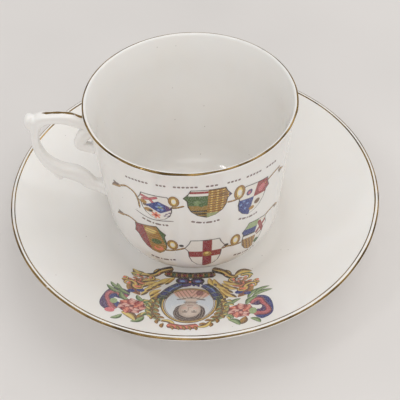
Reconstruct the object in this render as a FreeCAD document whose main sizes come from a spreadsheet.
import FreeCAD, Part
import math
import os

import Sketcher
from FreeCAD import Placement, Rotation, Vector

# Commemorative china teacup and saucer, in millimetres.
# Frame: +Z up, origin on the table under the saucer's centre, cup handle towards -X,
# printed decoration facing -Y.

SIZES = {
    # saucer: top face from the centre outwards, then the edge and the underside
    "saucer_well_radius": 26.0,
    "saucer_well_height": 5.8,
    "saucer_knee_radius": 35.0,
    "saucer_knee_height": 8.4,
    "saucer_edge_radius": 68.8,
    "saucer_edge_height": 26.9,
    "saucer_under_edge_radius": 69.5,
    "saucer_under_edge_height": 25.35,
    "saucer_edge_round": 0.86,
    "saucer_under_bend": 315.0,
    "saucer_foot_top_radius": 32.4,
    "saucer_foot_top_height": 4.3,
    "saucer_foot_outer_radius": 31.8,
    "saucer_foot_inner_radius": 29.6,
    "saucer_recess_radius": 28.8,
    "saucer_recess_height": 3.3,
    "saucer_base_radius": 26.0,
    "saucer_base_height": 3.1,
    # cup: foot ring, rounded lower corner, straight flared wall, everted lip
    "cup_seat_height": 5.9,
    "cup_foot_inner_radius": 21.2,
    "cup_foot_outer_radius": 23.6,
    "cup_foot_top_radius": 24.2,
    "cup_foot_top_height": 8.5,
    "cup_base_height": 8.0,
    "cup_floor_height": 11.0,
    "cup_floor_radius": 19.0,
    "cup_waist_height": 21.6,
    "cup_waist_radius": 32.6,
    "cup_shoulder_height": 59.0,
    "cup_shoulder_radius": 35.62,
    "cup_lip_height": 70.5,
    "cup_lip_radius": 37.6,
    "cup_wall_at_waist": 2.2,
    "cup_wall_at_shoulder": 1.9,
    "cup_lip_thickness": 1.6,
    "cup_lip_round": 0.82,
    # handle: round rod bent along a route, with a scroll, a thumb knob and a tail spur
    "handle_rod_radius": 2.1,
    "handle_root_x": 34.9,
    "handle_root_z": 62.4,
    "handle_rise_x": 40.6,
    "handle_rise_z": 66.6,
    "handle_rise_bend": 6.0,
    "handle_corner_x": 54.6,
    "handle_corner_z": 67.5,
    "handle_corner_bend": 4.0,
    "handle_back_x": 55.8,
    "handle_back_z": 52.0,
    "handle_back_bend": 12.0,
    "handle_heel_x": 50.4,
    "handle_heel_z": 41.6,
    "handle_heel_bend": 7.0,
    "handle_neck_x": 41.4,
    "handle_neck_z": 38.8,
    "handle_neck_bend": 4.0,
    "handle_tail_x": 38.4,
    "handle_tail_z": 32.2,
    "handle_tail_bend": 3.0,
    "handle_end_x": 32.4,
    "handle_end_z": 31.2,
    "scroll_crown_x": 38.3,
    "scroll_crown_z": 63.6,
    "scroll_bottom_z": 49.6,
    "scroll_wall_x": 34.3,
    "scroll_brow_x": 38.2,
    "scroll_brow_z": 57.6,
    "scroll_nose_x": 42.6,
    "scroll_nose_z": 54.0,
    "scroll_chin_x": 39.8,
    "scroll_chin_z": 50.6,
    "scroll_outer_bend": 4.5,
    "scroll_lower_bend": 3.2,
    "scroll_inner_bend": 6.0,
    "scroll_thickness": 4.0,
    "thumb_knob_radius": 2.3,
    "thumb_knob_x": 55.4,
    "thumb_knob_z": 67.6,
    "spur_root_radius": 2.0,
    "spur_tip_radius": 0.5,
    "spur_length": 5.2,
    "spur_x": 50.0,
    "spur_z": 41.6,
    "spur_lean_degrees": 8.0,
    # gilding and transfers: thin fired-on layers
    "gilding_thickness": 0.1,
    "saucer_gilding_rise_in": 0.041,
    "saucer_gilding_rise_up": 0.091,
    "handle_gilding_half_width": 0.85,
    "transfer_thickness": 0.1,
    "transfer_backing": 0.9,
    "border_low": 61.4,
    "border_high": 66.0,
    "border_sweep": 98.0,
    "border_middle": -86.0,
    "upper_garland_low": 40.5,
    "upper_garland_high": 60.5,
    "upper_garland_sweep": 120.0,
    "upper_garland_middle": -88.0,
    "lower_garland_low": 22.2,
    "lower_garland_high": 39.5,
    "lower_garland_sweep": 114.0,
    "lower_garland_middle": -88.0,
    "saucer_print_near": 31.0,
    "saucer_print_far": 66.0,
    "saucer_print_sweep": 76.0,
    "saucer_print_middle": -99.0,
    "full_turn": 360.0,
}

doc = FreeCAD.newDocument("teacup_and_saucer")
sheet = doc.addObject("Spreadsheet::Sheet", "Sizes")
for row, (alias, value) in enumerate(SIZES.items(), start=1):
    sheet.set(f"A{row}", alias)
    sheet.set(f"B{row}", str(value))
    sheet.setAlias(f"B{row}", alias)
doc.recompute()


class Size:
    """A length with its value in millimetres and the sheet expression that gives it."""

    def __init__(self, value, text):
        self.value = value
        self.text = text

    def __add__(self, other):
        return Size(self.value + other.value, f"({self.text} + {other.text})")

    def __sub__(self, other):
        return Size(self.value - other.value, f"({self.text} - {other.text})")

    def __neg__(self):
        return Size(-self.value, f"(-{self.text})")


def size(name):
    return Size(SIZES[name], f"Sizes.{name}")


ZERO = Size(0.0, "0")


def point(pair):
    return Vector(pair[0].value, pair[1].value, 0)


# --- sketches -------------------------------------------------------------------------------


def new_body(label):
    body = doc.addObject("PartDesign::Body", label)
    body.Label = label
    return body


def new_sketch(body, name, role):
    """A sketch on one of the body's own origin planes, such as XZ_Plane."""
    sketch = body.newObject("Sketcher::SketchObject", name)
    plane = next(item for item in body.Origin.OriginFeatures if item.Role == role)
    sketch.AttachmentSupport = [(plane, "")]
    sketch.MapMode = "FlatFace"
    return sketch


def bind(sketch, kind, *where, length):
    """Add a dimension to the sketch and drive it from the sheet."""
    index = sketch.addConstraint(Sketcher.Constraint(kind, *where, length.value))
    sketch.setExpression(f"Constraints[{index}]", length.text)


def pin_vertex(sketch, edge, end, corner):
    """Fix one end of an edge at a corner given as two sizes."""
    for kind, length in zip(("DistanceX", "DistanceY"), corner):
        bind(sketch, kind, edge, end, length=length)


def arc_between(start, finish, centre):
    """The shorter arc about a centre, and whether it runs anticlockwise from start to finish."""
    radius = (start - centre).Length
    turn = (start - centre).cross(finish - centre).z
    first, last = (start, finish) if turn > 0 else (finish, start)
    first_angle = math.atan2(first.y - centre.y, first.x - centre.x)
    last_angle = math.atan2(last.y - centre.y, last.x - centre.x)
    if last_angle < first_angle:
        last_angle += 2 * math.pi
    circle = Part.Circle(centre, Vector(0, 0, 1), radius)
    return Part.ArcOfCircle(circle, first_angle, last_angle), turn > 0


def centre_on_tangent(touch, other, direction):
    """Centre of the circle that leaves `touch` along `direction` and passes through `other`."""
    normal = Vector(-direction.y, direction.x, 0)
    chord = other - touch
    return touch + normal * (chord.dot(chord) / (2 * normal.dot(chord)))


def centre_on_radius(start, finish, radius):
    """Centre of a circle through two points. A positive radius bulges to the right of the way."""
    chord = finish - start
    normal = Vector(-chord.y, chord.x, 0).normalize()
    reach = math.sqrt(max(radius * radius - chord.Length ** 2 / 4, 0.0))
    return start + chord / 2 + normal * math.copysign(reach, radius)


def end_direction(geometry, forward, at_finish):
    """Unit direction of travel at one end of an edge that is walked forward or backward."""
    parameter = geometry.LastParameter if forward == at_finish else geometry.FirstParameter
    direction = Vector(geometry.tangent(parameter)[0])
    return direction if forward else -direction


def draw_outline(sketch, corners, edges):
    """Closed outline through corners. Each edge is "line", a signed radius (Size), "leaving" (an
    arc tangent to the edge before it) or "meeting" (an arc tangent to the line after it)."""
    count = len(corners)
    spots = [point(corner) for corner in corners]
    shapes = []
    for i, edge in enumerate(edges):
        start, finish = spots[i], spots[(i + 1) % count]
        if isinstance(edge, Size):
            shapes.append(arc_between(start, finish, centre_on_radius(start, finish, edge.value)))
        elif edge == "leaving":
            before = end_direction(*shapes[i - 1], at_finish=True)
            shapes.append(arc_between(start, finish, centre_on_tangent(start, finish, before)))
        elif edge == "meeting":
            after = (spots[(i + 2) % count] - finish).normalize()
            shapes.append(arc_between(start, finish, centre_on_tangent(finish, start, after)))
        else:
            shapes.append((Part.LineSegment(start, finish), True))
    base = sketch.GeometryCount
    for geometry, forward in shapes:
        sketch.addGeometry(geometry, False)
    for i, corner in enumerate(corners):
        edge, start_end = base + i, 1 if shapes[i][1] else 2
        before, before_end = base + (i - 1) % count, 2 if shapes[i - 1][1] else 1
        smooth = edges[i] == "leaving" or edges[i - 1] == "meeting"
        joint = "Tangent" if smooth else "Coincident"
        sketch.addConstraint(Sketcher.Constraint(joint, before, before_end, edge, start_end))
        pin_vertex(sketch, edge, start_end, corner)
        if isinstance(edges[i], Size):
            bend = edges[i] if edges[i].value > 0 else -edges[i]
            bind(sketch, "Radius", edge, length=bend)


def draw_route(sketch, corners, bends):
    """Open route of straight runs through corners, with an arc of the given radius at each bend."""
    spots = [point(corner) for corner in corners]
    tangents = []
    for before, corner, after, bend in zip(spots, spots[1:], spots[2:], bends):
        way_in, way_out = (corner - before).normalize(), (after - corner).normalize()
        turn = math.acos(way_in.dot(way_out))
        reach = bend.value * math.tan(turn / 2)
        side = math.copysign(1, way_in.cross(way_out).z)
        touch = corner - way_in * reach
        centre = touch + Vector(-way_in.y, way_in.x, 0) * side * bend.value
        tangents.append((touch, corner + way_out * reach, centre))
    starts = [spots[0]] + [finish for touch, finish, centre in tangents]
    ends = [touch for touch, finish, centre in tangents] + [spots[-1]]
    arcs = [arc_between(*ends_and_centre) for ends_and_centre in tangents]
    for i, (start, finish) in enumerate(zip(starts, ends)):
        line = sketch.addGeometry(Part.LineSegment(start, finish), False)
        if i < len(arcs):
            sketch.addGeometry(arcs[i][0], False)
    pin_vertex(sketch, 0, 1, corners[0])
    pin_vertex(sketch, line, 2, corners[-1])
    for i, (bend, (arc, forward)) in enumerate(zip(bends, arcs)):
        before, curve, after = 2 * i, 2 * i + 1, 2 * i + 2
        first, last = (1, 2) if forward else (2, 1)
        sketch.addConstraint(Sketcher.Constraint("Tangent", before, 2, curve, first))
        sketch.addConstraint(Sketcher.Constraint("Tangent", curve, last, after, 1))
        bind(sketch, "Radius", curve, length=bend)
        knee = sketch.addGeometry(Part.Point(spots[i + 1]), True)
        pin_vertex(sketch, knee, 1, corners[i + 1])
        sketch.addConstraint(Sketcher.Constraint("PointOnObject", knee, 1, before))
        sketch.addConstraint(Sketcher.Constraint("PointOnObject", knee, 1, after))


# --- features -------------------------------------------------------------------------------


def revolve(body, sketch):
    """Turn a profile all the way round the body's upright axis."""
    turned = body.newObject("PartDesign::Revolution", "turned")
    turned.Profile = sketch
    turned.ReferenceAxis = (sketch, ["V_Axis"])
    turned.setExpression("Angle", size("full_turn").text)
    sketch.Visibility = False


def turned_body(label, corners, edges):
    body = new_body(label)
    profile = new_sketch(body, f"{label}_profile", "XZ_Plane")
    draw_outline(profile, corners, edges)
    revolve(body, profile)
    return body


def sweep(body, name, route, section):
    pipe = body.newObject("PartDesign::AdditivePipe", name)
    pipe.Profile = section
    pipe.Spine = (route, [f"Edge{i + 1}" for i in range(2 * len(route_bends(route)) + 1)])
    return pipe


def route_bends(route):
    return [item for item in route.Geometry if isinstance(item, Part.ArcOfCircle)]


def section_sketch(body, name, route):
    """A sketch square to the start of a route."""
    sketch = body.newObject("Sketcher::SketchObject", name)
    sketch.AttachmentSupport = [(route, "Edge1")]
    sketch.MapMode = "NormalToEdge"
    sketch.MapPathParameter = 0.0
    return sketch


def less(label, stock, tool):
    """What is left of one piece once the china that it lies on is taken away."""
    cut = doc.addObject("Part::Cut", label)
    cut.Label = label
    cut.Base = stock
    cut.Tool = tool
    return cut


def turn_to(body, degrees):
    """Turn a piece that is drawn facing +X about the upright axis."""
    body.Placement = Placement(Vector(0, 0, 0), Rotation(Vector(0, 0, 1), degrees))


# --- the pieces -----------------------------------------------------------------------------


def make_saucer(label):
    corners = [
        (ZERO, size("saucer_well_height")),
        (size("saucer_well_radius"), size("saucer_well_height")),
        (size("saucer_knee_radius"), size("saucer_knee_height")),
        (size("saucer_edge_radius"), size("saucer_edge_height")),
        (size("saucer_under_edge_radius"), size("saucer_under_edge_height")),
        (size("saucer_foot_top_radius"), size("saucer_foot_top_height")),
        (size("saucer_foot_outer_radius"), ZERO),
        (size("saucer_foot_inner_radius"), ZERO),
        (size("saucer_recess_radius"), size("saucer_recess_height")),
        (size("saucer_base_radius"), size("saucer_base_height")),
        (ZERO, size("saucer_base_height")),
    ]
    edges = ["line", "leaving", "leaving", -size("saucer_edge_round"), size("saucer_under_bend")]
    edges += ["line"] * 6
    return turned_body(label, corners, edges)


def cup_wall_corners(grow):
    """Outer wall from the lip down to the waist, moved outwards by `grow`."""
    return [
        (size("cup_lip_radius") + grow, size("cup_lip_height")),
        (size("cup_shoulder_radius") + grow, size("cup_shoulder_height")),
        (size("cup_waist_radius") + grow, size("cup_waist_height")),
    ]


def make_cup_core():
    """The cup's outer shape filled solid, used to trim what is luted on to the wall."""
    corners = [(ZERO, size("cup_lip_height")), *cup_wall_corners(ZERO), (ZERO, size("cup_waist_height"))]
    return turned_body("cup_core", corners, ["line", "meeting", "line", "line", "line"])


def make_cup():
    lip_inner = size("cup_lip_radius") - size("cup_lip_thickness")
    shoulder_inner = size("cup_shoulder_radius") - size("cup_wall_at_shoulder")
    waist_inner = size("cup_waist_radius") - size("cup_wall_at_waist")
    corners = [
        (ZERO, size("cup_floor_height")),
        (size("cup_floor_radius"), size("cup_floor_height")),
        (waist_inner, size("cup_waist_height")),
        (shoulder_inner, size("cup_shoulder_height")),
        (lip_inner, size("cup_lip_height")),
        *cup_wall_corners(ZERO),
        (size("cup_foot_top_radius"), size("cup_foot_top_height")),
        (size("cup_foot_outer_radius"), size("cup_seat_height")),
        (size("cup_foot_inner_radius"), size("cup_seat_height")),
        (size("cup_foot_inner_radius"), size("cup_base_height")),
        (ZERO, size("cup_base_height")),
    ]
    edges = ["line", "meeting", "line", "leaving", -size("cup_lip_round"), "meeting", "line"]
    edges += ["leaving", "line", "line", "line", "line", "line"]
    return turned_body("cup_body", corners, edges)


def handle_route(body, name, bend_names, last):
    """Route of the rod, seen square to its plane, out from the wall to the last named corner."""
    sketch = new_sketch(body, name, "XZ_Plane")
    names = ["root", *bend_names, last]
    corners = [(size(f"handle_{spot}_x"), size(f"handle_{spot}_z")) for spot in names]
    draw_route(sketch, corners, [size(f"handle_{bend}_bend") for bend in bend_names])
    return sketch


def make_handle(core):
    body = new_body("handle_casting")
    bends = ["rise", "corner", "back", "heel", "neck", "tail"]
    route = handle_route(body, "handle_route", bends, "end")
    doc.recompute()
    section = section_sketch(body, "handle_section", route)
    section.addGeometry(Part.Circle(Vector(0, 0, 0), Vector(0, 0, 1), 2), False)
    section.addConstraint(Sketcher.Constraint("Coincident", 0, 3, -1, 1))
    bind(section, "Radius", 0, length=size("handle_rod_radius"))
    sweep(body, "handle_rod", route, section)

    scroll = new_sketch(body, "scroll_outline", "XZ_Plane")
    corners = [
        (size("scroll_wall_x"), size("scroll_bottom_z")),
        (size("scroll_chin_x"), size("scroll_chin_z")),
        (size("scroll_nose_x"), size("scroll_nose_z")),
        (size("scroll_brow_x"), size("scroll_brow_z")),
        (size("scroll_crown_x"), size("scroll_crown_z")),
        (size("scroll_wall_x"), size("scroll_crown_z")),
    ]
    bends = [size("scroll_lower_bend"), size("scroll_outer_bend"), -size("scroll_inner_bend")]
    draw_outline(scroll, corners, ["line", *bends, "line", "line"])
    pad = body.newObject("PartDesign::Pad", "handle_scroll")
    pad.Profile = scroll
    pad.Midplane = True
    pad.setExpression("Length", size("scroll_thickness").text)
    scroll.Visibility = False

    knob = body.newObject("PartDesign::AdditiveSphere", "thumb_knob")
    knob.Placement.Base = Vector(SIZES["thumb_knob_x"], 0, SIZES["thumb_knob_z"])
    knob.setExpression("Radius", size("thumb_knob_radius").text)

    spur = body.newObject("PartDesign::AdditiveCone", "tail_spur")
    spur.setExpression("Radius1", size("spur_root_radius").text)
    spur.setExpression("Radius2", size("spur_tip_radius").text)
    spur.setExpression("Height", size("spur_length").text)
    lean = Rotation(Vector(0, 1, 0), 180 + SIZES["spur_lean_degrees"])
    spur.Placement = Placement(Vector(SIZES["spur_x"], 0, SIZES["spur_z"]), lean)
    turn_to(body, 180)
    return less("cup_handle", body, core)


def make_handle_gilding(core, handle):
    """Thin curved strip on the rod's upper ridge, from the wall to the thumb knob."""
    body = new_body("handle_gilding_strip")
    route = handle_route(body, "gilding_route", ["rise"], "corner")
    doc.recompute()
    section = section_sketch(body, "gilding_section", route)
    inner, outer = SIZES["handle_rod_radius"], SIZES["handle_rod_radius"] + SIZES["gilding_thickness"]
    half = math.asin(SIZES["handle_gilding_half_width"] / inner)
    top = math.pi / 2
    for radius in (inner, outer):
        circle = Part.Circle(Vector(0, 0, 0), Vector(0, 0, 1), radius)
        section.addGeometry(Part.ArcOfCircle(circle, top - half, top + half), False)
    for end, side in ((1, top - half), (2, top + half)):
        spots = [Vector(math.cos(side), math.sin(side), 0) * radius for radius in (inner, outer)]
        edge = section.addGeometry(Part.LineSegment(*spots), False)
        section.addConstraint(Sketcher.Constraint("Coincident", 0, end, edge, 1))
        section.addConstraint(Sketcher.Constraint("Coincident", 1, end, edge, 2))
        section.addConstraint(Sketcher.Constraint("PointOnObject", -1, 1, edge))
    for arc in (0, 1):
        section.addConstraint(Sketcher.Constraint("Coincident", arc, 3, -1, 1))
    section.addConstraint(Sketcher.Constraint("Symmetric", 0, 1, 0, 2, -2))
    bind(section, "DistanceX", 0, 1, length=size("handle_gilding_half_width"))
    bind(section, "Radius", 0, length=size("handle_rod_radius"))
    bind(section, "Radius", 1, length=size("handle_rod_radius") + size("gilding_thickness"))
    sweep(body, "gilding_sweep", route, section)
    turn_to(body, 180)
    return less("handle_gilding", less("gilding_off_wall", body, core), handle)


def edge_gilding(label, first, last, rise, edge_round):
    """Gold ring of even thickness round a rolled edge, from one side of the edge to the other.
    `rise` is the step from the china's face to the gold's at the first side."""
    outer_first = (first[0] + rise[0], first[1] + rise[1])
    outer_last = (last[0] - rise[0], last[1] - rise[1])
    edges = [-edge_round, "line", edge_round + size("gilding_thickness"), "line"]
    return turned_body(label, [first, last, outer_last, outer_first], edges)


def sector(label, radius, low, high, sweep, middle):
    """Upright wedge of a cylinder, `sweep` degrees wide about the direction `middle`."""
    wedge = doc.addObject("Part::Cylinder", label)
    wedge.setExpression("Radius", radius.text)
    wedge.setExpression("Height", (high - low).text)
    wedge.setExpression("Angle", sweep.text)
    turn = Rotation(Vector(0, 0, 1), middle.value - sweep.value / 2)
    wedge.Placement = Placement(Vector(0, 0, low.value), turn)
    return wedge


def common(label, stock, window):
    """The part of one shape that lies inside another."""
    shared = doc.addObject("Part::Common", label)
    shared.Label = label
    shared.Base = stock
    shared.Tool = window
    return shared


def make_cup_sleeve(cup):
    """Layer one transfer thick over the whole outer wall, from which the transfers are trimmed."""
    inner = cup_wall_corners(-size("transfer_backing"))[::-1]
    outer = cup_wall_corners(size("transfer_thickness"))
    edges = ["meeting", "line", "line", "line", "leaving", "line"]
    return less("cup_sleeve", turned_body("cup_sleeve_stock", outer + inner, edges), cup)


def cup_transfer(name, sleeve):
    low, high = size(f"{name}_low"), size(f"{name}_high")
    reach = size("cup_lip_radius") + size("cup_lip_radius")
    sweep, middle = size(f"{name}_sweep"), size(f"{name}_middle")
    window = sector(f"{name}_window", reach, low, high, sweep, middle)
    return common(f"cup_{name}_transfer", sleeve, window)


def make_saucer_transfer(saucer):
    """Layer one transfer thick on the flange: the saucer raised a little, less the saucer."""
    raised = make_saucer("saucer_raised")
    raised.Placement = Placement(Vector(0, 0, SIZES["transfer_thickness"]), Rotation())
    sweep, middle = size("saucer_print_sweep"), size("saucer_print_middle")
    top = size("saucer_edge_height") + size("saucer_edge_height")
    far_radius, near_radius = size("saucer_print_far"), size("saucer_print_near")
    far = sector("saucer_print_outer", far_radius, size("saucer_well_height"), top, sweep, middle)
    near = sector("saucer_print_inner", near_radius, ZERO, top, size("full_turn"), ZERO)
    skin = less("saucer_skin", raised, saucer)
    return common("saucer_transfer", skin, less("saucer_print_window", far, near))


def make_cup_rim_gilding():
    inside = (size("cup_lip_radius") - size("cup_lip_thickness"), size("cup_lip_height"))
    outside = (size("cup_lip_radius"), size("cup_lip_height"))
    rise = (-size("gilding_thickness"), ZERO)
    return edge_gilding("cup_rim_gilding", inside, outside, rise, size("cup_lip_round"))


def make_saucer_rim_gilding():
    above = (size("saucer_edge_radius"), size("saucer_edge_height"))
    below = (size("saucer_under_edge_radius"), size("saucer_under_edge_height"))
    rise = (-size("saucer_gilding_rise_in"), size("saucer_gilding_rise_up"))
    return edge_gilding("saucer_rim_gilding", above, below, rise, size("saucer_edge_round"))


# --- assembly, checks and export -------------------------------------------------------------

saucer = make_saucer("saucer")
cup = make_cup()
doc.recompute()
sleeve = make_cup_sleeve(cup)
core = make_cup_core()
handle = make_handle(core)
pieces = [
    saucer,
    make_saucer_rim_gilding(),
    make_saucer_transfer(saucer),
    cup,
    handle,
    make_cup_rim_gilding(),
    make_handle_gilding(core, handle),
]
pieces += [cup_transfer(name, sleeve) for name in ("border", "upper_garland", "lower_garland")]
doc.recompute()

for item in doc.Objects:
    broken = [state for state in item.State if state in ("Invalid", "Error")]
    if broken:
        raise RuntimeError(f"{item.Label}: {broken}")
    if item.isDerivedFrom("Sketcher::SketchObject") and not item.FullyConstrained:
        raise RuntimeError(f"{item.Label} is not fully constrained")

os.makedirs("parts", exist_ok=True)
for piece in pieces:
    shape = piece.Shape
    if shape.isNull() or not shape.isValid() or not shape.Solids:
        raise RuntimeError(f"{piece.Label} has no valid solid")
    shape.exportStep(f"parts/{piece.Label}.step")
    box = shape.optimalBoundingBox()
    print(f"{piece.Label}: {len(shape.Solids)} solid, {shape.Volume:.1f} mm3,",
          f"x {box.XMin:.2f} {box.XMax:.2f}, y {box.YMin:.2f} {box.YMax:.2f},",
          f"z {box.ZMin:.2f} {box.ZMax:.2f}")
